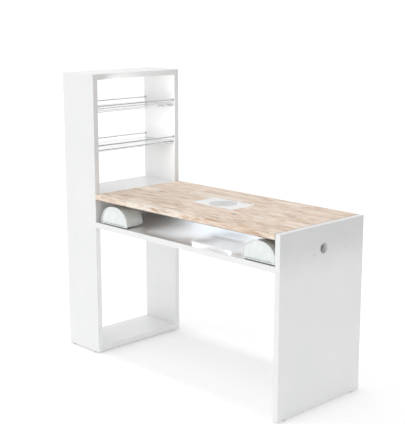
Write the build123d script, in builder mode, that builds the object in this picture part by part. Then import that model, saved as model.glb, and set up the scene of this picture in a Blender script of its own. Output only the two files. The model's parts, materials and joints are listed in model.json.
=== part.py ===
from build123d import *
import math
import os

os.makedirs("parts", exist_ok=True)

# A manicure table: shelf tower, wooden top, storage bay with two arm rests, and a
# built-in dust collector whose intake plate lies flush in the top.
# Millimetres. Origin on the floor, under the middle of the whole piece.
# +X along the table away from the tower, -Y the worker's side, +Z up.

# ------------------------------------------------------------------ overall sizes
table_length = 1118.0  # tower face to the end panel's outer face
depth = 515.0
desk_height = 760.0
tower_width = 220.0
tower_height = 1300.0
board = 25.0  # thickness of the carcass boards
edge_radius = 0.8  # eased edges of the boards

glide_height = 5.0
glide_radius = 8.0
glide_inset = 45.0
glide_chamfer = 1.0
tower_glide_inset = 30.0
tower_floor_gap = 8.0  # under the tower's bottom board

tray_top = 630.5
bay_depth = 326.5  # front edge to the bay's back panel
bay_wall = 18.0

# ------------------------------------------------------------------ joinery
dowel_radius = 4.0
dowel_length = 30.0
dowel_in_panel = 12.0
dowel_clearance = 0.05
tower_dowel_spacing = 70.0
tower_cam_spacing = 130.0
table_dowel_inset = 115.0
table_cam_inset = 65.0
cam_radius = 7.4
cam_height = 12.5
cam_distance = 34.0
cam_clearance = 0.1
bolt_radius = 3.0
bolt_in_panel = 10.0
bolt_clearance = 0.1
end_wall_dowel_inset = 35.0
bay_wall_dowel_inset = 25.0

# ------------------------------------------------------------------ glass shelves
shelf_heights = {"upper": 1129.0, "lower": 951.0}  # underside of each glass
glass = 8.0
glass_end_gap = 1.0
glass_inset = 4.0
pin_radius = 2.5
pin_length = 16.0
pin_in_panel = 8.0
pin_inset = 30.0
pin_clearance = 0.05
seat_gap = 0.3
rail_radius = 2.5
rail_inset = 8.0
rail_rise = 27.0  # rail's centre above the glass's underside
flange_radius = 7.0
flange_height = 3.0

# ------------------------------------------------------------------ end panel
cable_hole_radius = 22.0
cable_hole_setback = 262.0
cable_hole_height = 664.0
accessory_hole_radius = 2.5
accessory_spacing_y = 196.0
accessory_spacing_z = 54.5
accessory_setback = 301.0
accessory_height = 673.5

# ------------------------------------------------------------------ intake and filter
plate_length = 245.0
plate_width = 142.0
plate_thickness = 2.5
plate_corner = 6.0
plate_setback = 271.5  # front edge of the table to the plate's middle
plate_gap = 0.4
hole_radius = 2.75
hole_pitch = 10.0
hole_rings = 6
gasket_thickness = 1.2
gasket_width = 3.8
frame_flange = 2.0
throat_length = 208.0
throat_width = 126.0
collar_wall = 2.0
collar_gap = 0.5
notch_radius = 7.0
notch_depth = 10.0
frame_screw_spacing = 80.0
frame_screw_offset = 8.0  # outside the throat
cassette_gap = 1.0
cassette_wall = 3.0
cassette_height = 19.5
cassette_ledge = 2.0
media_thickness = 1.0
media_height = 12.0
media_pitch = 6.0
media_gap = 0.3
filter_boss_radius = 5.0
boss_overlap = 1.5  # how far a corner boss runs into the walls
filter_pin_radius = 2.0
filter_pin_length = 12.0
filter_pin_clearance = 0.05

# ------------------------------------------------------------------ housing
sheet = 2.0
housing_height = 55.0
fan_front_gap = 10.25  # fan to the housing's front wall
circuit_gap = 14.25  # fan to the circuit board
circuit_wall_gap = 6.0  # circuit board to the housing's end wall
housing_proud = 3.0  # behind the bay's back panel
housing_flange = 14.0
flange_front_reach = 52.0
flange_back_reach = 44.0
flange_screw_inset = 15.0
notch_gap = 2.0
post_radius = 5.0
post_height = 14.0
post_inset = 6.0
screw_radius = 1.5
screw_head_radius = 3.0
screw_head = 2.0
screw_clearance = 0.1
screw_tip_gap = 1.0
wood_screw_grip = 14.0
window_length = 160.0
window_height = 40.0
window_shift = -22.0
grille_border = 8.0
grille_thickness = 2.0
grille_bar = 2.2
grille_bars = 5
grille_corner = 3.0
grille_screw_rise = 13.0

# ------------------------------------------------------------------ fan
fan_size = 119.5
fan_thickness = 25.0
fan_bore_radius = 58.0
fan_hole_spacing = 105.0
fan_screw_radius = 2.0
fan_screw_head_radius = 4.0
fan_screw_tip_gap = 0.5
fan_corner = 6.0
strut_width = 5.0
strut_thickness = 3.0
strut_count = 4
strut_turn = 20.0
motor_base_radius = 20.0
boss_radius = 6.0
boss_height = 15.0
bearing_radius = 4.0
bearing_width = 3.0
bearing_inset = 1.0
shaft_radius = 1.5
shaft_clearance = 0.05
shaft_end_gap = 0.5
stator_radius = 16.0
stator_height = 11.0
stator_lift = 2.0
slot_setback = 4.0
slot_depth = 7.0
slot_width = 3.0
magnet_radius = 19.0
magnet_wall = 2.0
magnet_lift = 1.0
hub_radius = 22.0
blade_root_inset = 2.2
hub_top = 2.5
hub_height = 18.0
rotor_lift = 5.0  # rotor's lower edge above the frame's underside
blade_count = 7
blade_chord = 22.0
blade_thickness = 1.6
blade_pitch = 38.0
blade_tip_radius = 55.5
guard_thickness = 1.8
guard_wire = 2.0
guard_rings = (18.0, 31.0, 44.0, 57.0)
guard_eye_radius = 4.5

# ------------------------------------------------------------------ switch, jack, board
switch_inset = 21.0  # from the circuit board's near end
switch_height = 27.0  # centre below the table top's underside
bezel_length = 22.0
bezel_width = 16.0
bezel_thickness = 2.0
bezel_corner = 1.5
switch_length = 18.5
switch_width = 12.6
switch_depth = 16.0
rocker_length = 14.0
rocker_pocket_length = 14.6
rocker_pocket_width = 11.2
rocker_pocket_depth = 8.0
rocker_rest_tilt = 7.0
rocker_crown = 3.6  # of its middle, in front of the hinge
rocker_edge = 2.8  # of its pressed edges, in front of the hinge
rocker_face_half = 4.4
rocker_back = 3.6  # behind the hinge
rocker_back_half = 3.9
rocker_corner = 0.5
trunnion_radius = 1.0
trunnion_reach = 1.2
trunnion_clearance = 0.05
trunnion_end_gap = 0.3
jack_barrel_radius = 5.5
jack_flange_radius = 7.5
jack_length = 20.0
jack_bore_radius = 3.0
jack_bore_depth = 10.0
jack_pin_radius = 1.0
jack_pin_recess = 1.0
jack_nut_radius = 8.0
jack_nut_thickness = 2.5
circuit_length = 38.0
circuit_width = 60.0
circuit_thickness = 1.6
circuit_lift = 5.0
circuit_front = -16.0
terminal_length = 24.0
terminal_width = 10.0
terminal_height = 10.0
terminal_inset = 2.0
terminal_setback = 9.0
capacitor_radius = 6.0
capacitor_height = 14.0
capacitor_inset = 2.0
component_edge = 1.0
standoff_radius = 2.5
standoff_inset = 4.0
lead_radius = 1.0
lead_bend = 6.0
fan_lead_rise = 8.0  # above the fan frame's underside
jack_lead_reach = 12.0

# ------------------------------------------------------------------ arm rests
rest_width = 180.0
rest_height = 83.5
rest_length = 122.0
rest_back_width = 118.0
rest_back_height = 62.0
rest_setback = 6.0
rest_tower_gap = 32.0
rest_panel_gap = 2.0
rest_base = 3.0
rest_base_inset = 5.0
rest_foot = 1.0
rest_foot_radius = 7.0
rest_foot_inset = 22.0
rest_middle = 0.55  # where along its length the rest starts to taper
rest_middle_width = 160.0
rest_middle_height = 78.0

# ------------------------------------------------------------------ worked-out places
left = -(tower_width + table_length) / 2
right = -left
tower_face = left + tower_width
tower_middle = left + tower_width / 2
front = -depth / 2
back = -front
panel_front = front + board  # inner faces of the tower's front and back panels
panel_back = back - board
end_inner = right - board
desk_low = desk_height - board
desk_middle = desk_height - board / 2
tray_low = tray_top - board
tray_middle = tray_top - board / 2
wall_front = front + bay_depth
wall_back = wall_front + bay_wall
wall_middle = wall_front + bay_wall / 2

plate_x = (tower_face + end_inner) / 2
plate_y = front + plate_setback
plate_low = desk_height - plate_thickness
gasket_low = plate_low - seat_gap - gasket_thickness
rebate_floor = gasket_low - frame_flange
throat_x = throat_length / 2
throat_y = throat_width / 2
cassette_x = throat_x - cassette_gap
cassette_y = throat_y - cassette_gap
cassette_low = plate_low - cassette_height
filter_pin_x = cassette_x - cassette_wall - filter_boss_radius + boss_overlap
filter_pin_y = cassette_y - cassette_wall - filter_boss_radius + boss_overlap
filter_pins_at = [
    (plate_x + side * filter_pin_x, plate_y + end * filter_pin_y) for side in (-1, 1) for end in (-1, 1)
]

housing_low = desk_low - housing_height
housing_front = fan_size / 2 + fan_front_gap + sheet
housing_length = fan_size + 2 * (circuit_gap + circuit_length + circuit_wall_gap + sheet)
housing_x = (plate_x - housing_length / 2, plate_x + housing_length / 2)
housing_y = (plate_y - housing_front, wall_back + housing_proud)
post_places = [
    (housing_x[0] + post_inset, housing_y[0] + post_inset),
    (housing_x[1] - post_inset, housing_y[0] + post_inset),
    (housing_x[0] + post_inset, housing_y[1] - post_inset),
    (housing_x[1] - post_inset, housing_y[1] - post_inset),
]
flange_y = (plate_y - flange_front_reach, plate_y + flange_back_reach)
flange_screw_x = housing_length / 2 + housing_flange / 2
flange_screws_at = [
    (plate_x + side * flange_screw_x, y)
    for side in (-1, 1)
    for y in (flange_y[0] + flange_screw_inset, flange_y[1] - flange_screw_inset)
]
window_x = plate_x + window_shift
window_z = housing_low + housing_height / 2

guard_low = desk_low - sheet - guard_thickness
fan_top = guard_low
fan_low = fan_top - fan_thickness
rotor_low = fan_low + rotor_lift
rotor_top = rotor_low + hub_height
fan_screws_at = [
    (plate_x + side * fan_hole_spacing / 2, plate_y + end * fan_hole_spacing / 2)
    for side in (-1, 1)
    for end in (-1, 1)
]
boss_low = fan_low + strut_thickness
bearings_at = (boss_low + bearing_inset, boss_low + boss_height - bearing_width - bearing_inset)

switch_z = desk_low - switch_height
cover_low = housing_low - sheet
fan_side = plate_x + fan_size / 2
circuit_x = (fan_side + circuit_gap, fan_side + circuit_gap + circuit_length)
switch_x = circuit_x[0] + switch_inset
circuit_y = (plate_y + circuit_front, plate_y + circuit_front + circuit_width)
circuit_low = housing_low + circuit_lift
circuit_top = circuit_low + circuit_thickness
standoffs_at = [(x, y) for x in (circuit_x[0] + standoff_inset, circuit_x[1] - standoff_inset)
                for y in (circuit_y[0] + standoff_inset, circuit_y[1] - standoff_inset)]
terminal_x = (circuit_x[0] + terminal_inset, circuit_x[0] + terminal_inset + terminal_length)
terminal_y = (circuit_y[0] + terminal_setback, circuit_y[0] + terminal_setback + terminal_width)
terminal_z = circuit_top + terminal_height / 2

TO_RIGHT = Vector(1, 0, 0)
TO_LEFT = Vector(-1, 0, 0)
TO_BACK = Vector(0, 1, 0)
TO_FRONT = Vector(0, -1, 0)
UP = Vector(0, 0, 1)


# ------------------------------------------------------------------ shared shapes
def block(x_span, y_span, z_span, mode=Mode.ADD):
    """A block between two values along each axis."""
    spans = (x_span, y_span, z_span)
    with Locations(tuple((low + high) / 2 for low, high in spans)):
        Box(*(high - low for low, high in spans), mode=mode)


def rod(centre, way, radius, length, mode=Mode.ADD):
    """A round bar or bore about its middle, lying along `way`."""
    with Locations(Plane(origin=centre, z_dir=way)):
        Cylinder(radius, length, mode=mode)


def save(piece, name):
    """Name the finished piece and write it."""
    piece.part.label = name
    export_step(piece.part, f"parts/{name}.step")


def eased_board(x_span, y_span, z_span):
    """A carcass board with its edges eased."""
    block(x_span, y_span, z_span)
    fillet(edges(), edge_radius)


def dowel(joint, clearance=0.0, mode=Mode.ADD):
    """A dowel, or its two blind holes, across a joint of (point on the joint, way into the board)."""
    point, way = joint
    centre = point + way * (dowel_length / 2 - dowel_in_panel)
    rod(centre, way, dowel_radius + clearance, dowel_length + 2 * clearance, mode)


def cam_bolt(joint, clearance=0.0, mode=Mode.ADD):
    """The bolt of a cam joint, or the hole that takes it."""
    point, way = joint
    reach = cam_distance - cam_radius - 2 * cam_clearance + 2 * clearance
    centre = point + way * ((reach - bolt_in_panel) / 2)
    rod(centre, way, bolt_radius + clearance, reach + bolt_in_panel, mode)


def cam_disc(joint, clearance=0.0, mode=Mode.ADD):
    """The cam itself, let into the board's underside, or its pocket."""
    point, way = joint
    height = cam_height + clearance
    centre = point + way * cam_distance + UP * (height / 2 - board / 2)
    rod(centre, UP, cam_radius + clearance, height, mode)


def cut_dowels(joints):
    for joint in joints:
        dowel(joint, dowel_clearance, Mode.SUBTRACT)


def cut_cams(joints):
    for joint in joints:
        cam_bolt(joint, bolt_clearance, Mode.SUBTRACT)
        cam_disc(joint, cam_clearance, Mode.SUBTRACT)


def tower_joints(height, spacing):
    """Joints of a tower board with the front and back panels: two at each end."""
    offsets = (tower_middle - spacing / 2, tower_middle + spacing / 2)
    at_front = [(Vector(x, panel_front, height), TO_BACK) for x in offsets]
    at_back = [(Vector(x, panel_back, height), TO_FRONT) for x in offsets]
    return at_front + at_back


def end_joints(height, places):
    """Joints of a long board with the end panel."""
    return [(Vector(end_inner, y, height), TO_LEFT) for y in places]


def face_joints(height, places):
    """Joints of a long board with the tower's face."""
    return [(Vector(tower_face, y, height), TO_RIGHT) for y in places]


dowel_places = (front + table_dowel_inset, 0.0, back - table_dowel_inset)
cam_places = (front + table_cam_inset, back - table_cam_inset)
bottom_low = tower_floor_gap
bottom_middle = bottom_low + board / 2
top_middle = tower_height - board / 2

dowels_of = {
    "top_board": tower_joints(top_middle, tower_dowel_spacing),
    "bottom_board": tower_joints(bottom_middle, tower_dowel_spacing),
    "desk_shelf": tower_joints(desk_middle, tower_dowel_spacing),
    "end_wall": [
        (Vector(tower_face - board / 2, y, z), way)
        for y, way in ((panel_front, TO_BACK), (panel_back, TO_FRONT))
        for z in (tray_low + end_wall_dowel_inset, desk_low - end_wall_dowel_inset)
    ],
    "top_at_tower": face_joints(desk_middle, dowel_places),
    "top_at_end": end_joints(desk_middle, dowel_places),
    "tray_at_tower": face_joints(tray_middle, dowel_places),
    "tray_at_end": end_joints(tray_middle, dowel_places),
    "wall_at_tower": [
        (Vector(tower_face, wall_middle, z), TO_RIGHT)
        for z in (tray_top + bay_wall_dowel_inset, desk_low - bay_wall_dowel_inset)
    ],
    "wall_at_end": [
        (Vector(end_inner, wall_middle, z), TO_LEFT)
        for z in (tray_top + bay_wall_dowel_inset, desk_low - bay_wall_dowel_inset)
    ],
}
cams_of = {
    "top_board": tower_joints(top_middle, tower_cam_spacing),
    "bottom_board": tower_joints(bottom_middle, tower_cam_spacing),
    "desk_shelf": tower_joints(desk_middle, tower_cam_spacing),
    "top_at_tower": face_joints(desk_middle, cam_places),
    "top_at_end": end_joints(desk_middle, cam_places),
    "tray_at_tower": face_joints(tray_middle, cam_places),
    "tray_at_end": end_joints(tray_middle, cam_places),
}
pins_at = [
    (Vector(x, y, z - seat_gap - pin_radius), way)
    for z in shelf_heights.values()
    for x in (left + pin_inset, tower_face - pin_inset)
    for y, way in ((panel_front, TO_BACK), (panel_back, TO_FRONT))
]


def shelf_pin(seat, clearance=0.0, mode=Mode.ADD):
    """A shelf pin, or its hole, half in the panel."""
    point, way = seat
    rod(point + way * (pin_length / 2 - pin_in_panel), way, pin_radius + clearance, pin_length, mode)


# ------------------------------------------------------------------ tower carcass
tower_panel_joints = dowels_of["top_board"] + dowels_of["bottom_board"] + dowels_of["desk_shelf"]
tower_panel_joints = tower_panel_joints + dowels_of["end_wall"]
tower_panel_cams = cams_of["top_board"] + cams_of["bottom_board"] + cams_of["desk_shelf"]


def drill_tower_panel():
    """Joint and shelf-pin holes of a tower side panel."""
    cut_dowels(tower_panel_joints)
    for joint in tower_panel_cams:
        cam_bolt(joint, bolt_clearance, Mode.SUBTRACT)
    for seat in pins_at:
        shelf_pin(seat, pin_clearance, Mode.SUBTRACT)


with BuildPart() as tower_front_panel:
    eased_board((left, tower_face), (front, panel_front), (glide_height, tower_height))
    drill_tower_panel()
save(tower_front_panel, "tower_front_panel")

with BuildPart() as tower_back_panel:
    eased_board((left, tower_face), (panel_back, back), (glide_height, tower_height))
    drill_tower_panel()
save(tower_back_panel, "tower_back_panel")

with BuildPart() as tower_top_board:
    eased_board((left, tower_face), (panel_front, panel_back), (tower_height - board, tower_height))
    cut_dowels(dowels_of["top_board"])
    cut_cams(cams_of["top_board"])
save(tower_top_board, "tower_top_board")

with BuildPart() as tower_bottom_board:
    eased_board((left, tower_face), (panel_front, panel_back), (bottom_low, bottom_low + board))
    cut_dowels(dowels_of["bottom_board"])
    cut_cams(cams_of["bottom_board"])
save(tower_bottom_board, "tower_bottom_board")

with BuildPart() as tower_desk_shelf:
    eased_board((left, tower_face), (panel_front, panel_back), (desk_low, desk_height))
    cut_dowels(dowels_of["desk_shelf"] + dowels_of["top_at_tower"])
    cut_cams(cams_of["desk_shelf"])
    for joint in cams_of["top_at_tower"]:
        cam_bolt(joint, bolt_clearance, Mode.SUBTRACT)
save(tower_desk_shelf, "tower_desk_shelf")

with BuildPart() as bay_end_panel:
    eased_board((tower_face - board, tower_face), (panel_front, panel_back), (tray_low, desk_low))
    cut_dowels(dowels_of["end_wall"] + dowels_of["tray_at_tower"] + dowels_of["wall_at_tower"])
    for joint in cams_of["tray_at_tower"]:
        cam_bolt(joint, bolt_clearance, Mode.SUBTRACT)
save(bay_end_panel, "bay_end_panel")

# ------------------------------------------------------------------ glass shelves and rails
for level, height in shelf_heights.items():
    with BuildPart() as glass_shelf:
        shelf_x = (left + glass_inset, tower_face - glass_inset)
        shelf_y = (panel_front + glass_end_gap, panel_back - glass_end_gap)
        block(shelf_x, shelf_y, (height, height + glass))
        fillet(edges().filter_by(Axis.Z), 2 * edge_radius)
        chamfer(edges().filter_by(Axis.Y), edge_radius)
    save(glass_shelf, f"{level}_glass_shelf")

    rail_length = panel_back - panel_front - 2 * flange_height
    rails_at = [(x, height + rail_rise) for x in (left + rail_inset, tower_face - rail_inset)]
    with BuildPart() as gallery_rails:
        for x, z in rails_at:
            rod(Vector(x, 0, z), TO_BACK, rail_radius, rail_length)
    save(gallery_rails, f"{level}_shelf_rails")

with BuildPart() as shelf_pins:
    for seat in pins_at:
        shelf_pin(seat)
save(shelf_pins, "shelf_pins")

with BuildPart() as rail_flanges:
    for height in shelf_heights.values():
        for x in (left + rail_inset, tower_face - rail_inset):
            for y, way in ((panel_front, TO_BACK), (panel_back, TO_FRONT)):
                centre = Vector(x, y, height + rail_rise) + way * (flange_height / 2)
                rod(centre, way, flange_radius, flange_height)
save(rail_flanges, "rail_flanges")

# ------------------------------------------------------------------ table carcass
cutout_x = (plate_x - throat_x - collar_wall - collar_gap, plate_x + throat_x + collar_wall + collar_gap)
cutout_y = (plate_y - throat_y - collar_wall - collar_gap, plate_y + throat_y + collar_wall + collar_gap)
frame_screws_at = [
    (plate_x + side * (throat_x + frame_screw_offset), plate_y + end * frame_screw_spacing / 2)
    for side in (-1, 1)
    for end in (-1, 1)
]

with BuildPart() as table_top:
    eased_board((tower_face, end_inner), (front, back), (desk_low, desk_height))
    cut_dowels(dowels_of["top_at_tower"] + dowels_of["top_at_end"])
    cut_cams(cams_of["top_at_tower"] + cams_of["top_at_end"])
    with BuildSketch(Plane.XY.offset(rebate_floor)):
        with Locations((plate_x, plate_y)):
            RectangleRounded(plate_length + 2 * plate_gap, plate_width + 2 * plate_gap, plate_corner)
    extrude(amount=desk_height - rebate_floor, mode=Mode.SUBTRACT)
    block(cutout_x, cutout_y, (desk_low, rebate_floor), Mode.SUBTRACT)
    with BuildSketch(Plane.XY.offset(desk_height)):
        with Locations((plate_x + plate_length / 2, plate_y + plate_width / 2)):
            Circle(notch_radius)
    extrude(amount=-notch_depth, mode=Mode.SUBTRACT)
    for x, y in flange_screws_at:
        rod(Vector(x, y, desk_low + wood_screw_grip / 2), UP, screw_radius + screw_clearance,
            wood_screw_grip, Mode.SUBTRACT)
    for x, y in frame_screws_at:
        rod(Vector(x, y, rebate_floor - wood_screw_grip / 2), UP, screw_radius + screw_clearance,
            wood_screw_grip, Mode.SUBTRACT)
save(table_top, "table_top")

with BuildPart() as end_panel:
    eased_board((end_inner, right), (front, back), (glide_height, desk_height))
    cut_dowels(dowels_of["top_at_end"] + dowels_of["tray_at_end"] + dowels_of["wall_at_end"])
    for joint in cams_of["top_at_end"] + cams_of["tray_at_end"]:
        cam_bolt(joint, bolt_clearance, Mode.SUBTRACT)
    with BuildSketch(Plane.YZ.offset(end_inner)):
        with Locations((front + cable_hole_setback, cable_hole_height)):
            Circle(cable_hole_radius)
        with Locations((front + accessory_setback, accessory_height)):
            with GridLocations(accessory_spacing_y, accessory_spacing_z, 2, 2):
                Circle(accessory_hole_radius)
    extrude(amount=board, mode=Mode.SUBTRACT)
save(end_panel, "end_panel")

with BuildPart() as tray_board:
    eased_board((tower_face, end_inner), (front, back), (tray_low, tray_top))
    cut_dowels(dowels_of["tray_at_tower"] + dowels_of["tray_at_end"])
    cut_cams(cams_of["tray_at_tower"] + cams_of["tray_at_end"])
save(tray_board, "tray_board")

with BuildPart() as bay_back_panel:
    eased_board((tower_face, end_inner), (wall_front, wall_back), (tray_top, desk_low))
    cut_dowels(dowels_of["wall_at_tower"] + dowels_of["wall_at_end"])
    notch_x = (housing_x[0] - notch_gap, housing_x[1] + notch_gap)
    notch_z = (cover_low - screw_head - notch_gap, desk_low)
    block(notch_x, (wall_front, wall_back), notch_z, Mode.SUBTRACT)
save(bay_back_panel, "bay_back_panel")

with BuildPart() as floor_glides:
    tower_x = (left + tower_glide_inset, tower_face - tower_glide_inset)
    tower_y = (front + board / 2, back - board / 2)
    places = [(x, y) for x in tower_x for y in tower_y]
    places = places + [(right - board / 2, y) for y in (front + glide_inset, back - glide_inset)]
    with BuildSketch():
        with Locations(*places):
            Circle(glide_radius)
    extrude(amount=glide_height)
    chamfer(edges().group_by(Axis.Z)[0], glide_chamfer)
save(floor_glides, "floor_glides")

with BuildPart() as joint_dowels:
    for joints in dowels_of.values():
        for joint in joints:
            dowel(joint)
save(joint_dowels, "joint_dowels")

with BuildPart() as cam_bolts:
    for joints in cams_of.values():
        for joint in joints:
            cam_bolt(joint)
save(cam_bolts, "cam_bolts")

with BuildPart() as cam_discs:
    for joints in cams_of.values():
        for joint in joints:
            cam_disc(joint)
save(cam_discs, "cam_discs")

# ------------------------------------------------------------------ inlet frame and lift-out intake
with BuildPart() as inlet_frame:
    with BuildSketch(Plane.XY.offset(rebate_floor)):
        with Locations((plate_x, plate_y)):
            RectangleRounded(plate_length, plate_width, plate_corner)
            Rectangle(throat_length, throat_width, mode=Mode.SUBTRACT)
        with Locations(*frame_screws_at):
            Circle(screw_radius + screw_clearance, mode=Mode.SUBTRACT)
    extrude(amount=frame_flange)
    with BuildSketch(Plane.XY.offset(desk_low)):
        with Locations((plate_x, plate_y)):
            Rectangle(throat_length + 2 * collar_wall, throat_width + 2 * collar_wall)
            Rectangle(throat_length, throat_width, mode=Mode.SUBTRACT)
    extrude(amount=rebate_floor - desk_low)
save(inlet_frame, "inlet_frame")


def headed_screws(places, head_low, head_radius, head_height, radius, length):
    """Round-headed screws pointing up from a common level."""
    with BuildSketch(Plane.XY.offset(head_low)) as heads:
        with Locations(*places):
            Circle(head_radius)
    extrude(heads.sketch, amount=head_height)
    with BuildSketch(Plane.XY.offset(head_low + head_height)) as shanks:
        with Locations(*places):
            Circle(radius)
    extrude(shanks.sketch, amount=length)


with BuildPart() as inlet_frame_screws:
    with BuildSketch(Plane.XY.offset(rebate_floor + frame_flange)) as heads:
        with Locations(*frame_screws_at):
            Circle(screw_head_radius)
    extrude(amount=gasket_thickness)
    with BuildSketch(Plane.XY.offset(rebate_floor + frame_flange)) as shanks:
        with Locations(*frame_screws_at):
            Circle(screw_radius)
    extrude(amount=-wood_screw_grip)
save(inlet_frame_screws, "inlet_frame_screws")

with BuildPart() as plate_gasket:
    with BuildSketch(Plane.XY.offset(gasket_low)):
        with Locations((plate_x, plate_y)):
            RectangleRounded(plate_length, plate_width, plate_corner)
            offset(amount=-gasket_width, mode=Mode.SUBTRACT)
    extrude(amount=gasket_thickness)
save(plate_gasket, "plate_gasket")

with BuildPart() as intake_plate:
    with BuildSketch(Plane.XY.offset(plate_low)):
        with Locations((plate_x, plate_y)):
            RectangleRounded(plate_length, plate_width, plate_corner)
    extrude(amount=plate_thickness)
    chamfer(edges().group_by(Axis.Z)[-1], edge_radius / 2)
    with BuildSketch(Plane.XY.offset(plate_low)):
        with Locations((plate_x, plate_y)):
            Circle(hole_radius)
            for ring in range(1, hole_rings + 1):
                with PolarLocations(ring * hole_pitch - hole_radius, 6 * ring):
                    Circle(hole_radius)
    extrude(amount=plate_thickness, mode=Mode.SUBTRACT)
save(intake_plate, "intake_plate")

with BuildPart() as filter_frame:
    with BuildSketch(Plane.XY.offset(cassette_low)):
        with Locations((plate_x, plate_y)):
            Rectangle(2 * cassette_x, 2 * cassette_y)
            Rectangle(2 * (cassette_x - cassette_wall), 2 * (cassette_y - cassette_wall), mode=Mode.SUBTRACT)
    extrude(amount=cassette_height)
    with BuildSketch(Plane.XY.offset(cassette_low)):
        ledge = cassette_wall + cassette_ledge
        with Locations((plate_x, plate_y)):
            Rectangle(2 * cassette_x, 2 * cassette_y)
            Rectangle(2 * (cassette_x - ledge), 2 * (cassette_y - ledge), mode=Mode.SUBTRACT)
    extrude(amount=cassette_ledge)
    for x, y in filter_pins_at:
        rod(Vector(x, y, cassette_low + cassette_height / 2), UP, filter_boss_radius, cassette_height)
    for x, y in filter_pins_at:
        rod(Vector(x, y, plate_low - filter_pin_length / 2), UP, filter_pin_radius + filter_pin_clearance,
            filter_pin_length, Mode.SUBTRACT)
save(filter_frame, "filter_frame")

with BuildPart() as filter_pins:
    for x, y in filter_pins_at:
        rod(Vector(x, y, plate_low - filter_pin_length / 2), UP, filter_pin_radius, filter_pin_length)
save(filter_pins, "filter_pins")

# Pleated paper between the corner bosses, standing on the cassette's ledge.
media_half = filter_pin_x - filter_boss_radius - media_gap
media_low = cassette_low + cassette_ledge
pleats = int(2 * media_half / media_pitch)
media_start = plate_x - pleats * media_pitch / 2
lower_line = [
    (media_start + step * media_pitch / 2, media_low + (step % 2) * (media_height - media_thickness))
    for step in range(2 * pleats + 1)
]
upper_line = [(x, z + media_thickness) for x, z in reversed(lower_line)]
with BuildPart() as filter_media:
    media_width = 2 * (cassette_y - cassette_wall - media_gap)
    with BuildSketch(Plane.XZ.offset(-plate_y - media_width / 2)):
        with BuildLine():
            Polyline(*lower_line, *upper_line, close=True)
        make_face()
    extrude(amount=media_width)
save(filter_media, "filter_media")

# ------------------------------------------------------------------ housing
with BuildPart() as collector_housing:
    block(housing_x, housing_y, (housing_low, desk_low))
    offset(amount=-sheet, openings=faces().sort_by(Axis.Z)[0])
    block((housing_x[0] - housing_flange, housing_x[0]), flange_y, (desk_low - sheet, desk_low))
    block((housing_x[1], housing_x[1] + housing_flange), flange_y, (desk_low - sheet, desk_low))
    for x, y in post_places:
        rod(Vector(x, y, housing_low + post_height / 2), UP, post_radius, post_height)
    for x, y in post_places:
        rod(Vector(x, y, housing_low + post_height / 2), UP, screw_radius + screw_clearance, post_height,
            Mode.SUBTRACT)
    for x, y in flange_screws_at:
        rod(Vector(x, y, desk_low - sheet / 2), UP, screw_radius + screw_clearance, sheet, Mode.SUBTRACT)
    for x, y in fan_screws_at:
        rod(Vector(x, y, desk_low - sheet / 2), UP, fan_screw_radius + screw_clearance, sheet, Mode.SUBTRACT)
    rod(Vector(plate_x, plate_y, desk_low - sheet / 2), UP, fan_bore_radius, sheet, Mode.SUBTRACT)
    with BuildSketch(Plane.XZ.offset(-housing_y[1])):
        with Locations((window_x, window_z)):
            Rectangle(window_length, window_height)
        with Locations((switch_x, switch_z)):
            Circle(jack_barrel_radius + screw_clearance)
    extrude(amount=sheet, mode=Mode.SUBTRACT)
    with BuildSketch(Plane.XZ.offset(-housing_y[0])):
        with Locations((switch_x, switch_z)):
            Rectangle(switch_length + 2 * screw_clearance, switch_width + 2 * screw_clearance)
    extrude(amount=-sheet, mode=Mode.SUBTRACT)
save(collector_housing, "collector_housing")

with BuildPart() as housing_screws:
    headed_screws(flange_screws_at, desk_low - sheet - screw_head, screw_head_radius, screw_head,
                  screw_radius, sheet + wood_screw_grip - screw_tip_gap)
save(housing_screws, "housing_screws")

with BuildPart() as bottom_cover:
    block(housing_x, housing_y, (cover_low, housing_low))
    fillet(edges().filter_by(Axis.Z), 2 * edge_radius)
    for x, y in post_places:
        rod(Vector(x, y, cover_low + sheet / 2), UP, screw_radius + screw_clearance, sheet, Mode.SUBTRACT)
save(bottom_cover, "bottom_cover")

with BuildPart() as cover_screws:
    headed_screws(post_places, cover_low - screw_head, screw_head_radius, screw_head,
                  screw_radius, sheet + post_height - screw_tip_gap)
save(cover_screws, "cover_screws")

grille_x = window_length / 2 + grille_border
grille_z = window_height / 2 + grille_border / 2
grille_screws_at = [
    (window_x + side * (grille_x - grille_border / 2), window_z + end * grille_screw_rise)
    for side in (-1, 1)
    for end in (-1, 1)
]
with BuildPart() as exhaust_grille:
    with BuildSketch(Plane.XZ.offset(-housing_y[1])):
        with Locations((window_x, window_z)):
            RectangleRounded(2 * grille_x, 2 * grille_z, grille_corner)
            Rectangle(window_length, window_height, mode=Mode.SUBTRACT)
            with GridLocations(0, window_height / (grille_bars + 1), 1, grille_bars):
                Rectangle(window_length + grille_border, grille_bar)
            with GridLocations(window_length / 2, 0, 3, 1):
                Rectangle(grille_bar, window_height + grille_border / 2)
        with Locations(*grille_screws_at):
            Circle(screw_radius + screw_clearance, mode=Mode.SUBTRACT)
    extrude(amount=-grille_thickness)
save(exhaust_grille, "exhaust_grille")

with BuildPart() as grille_screws:
    screw_heads = housing_y[1] + grille_thickness + screw_head / 2
    for x, z in grille_screws_at:
        rod(Vector(x, screw_heads, z), TO_BACK, screw_head_radius, screw_head)
        rod(Vector(x, housing_y[1] + grille_thickness / 2, z), TO_BACK, screw_radius, grille_thickness)
save(grille_screws, "grille_screws")

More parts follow.
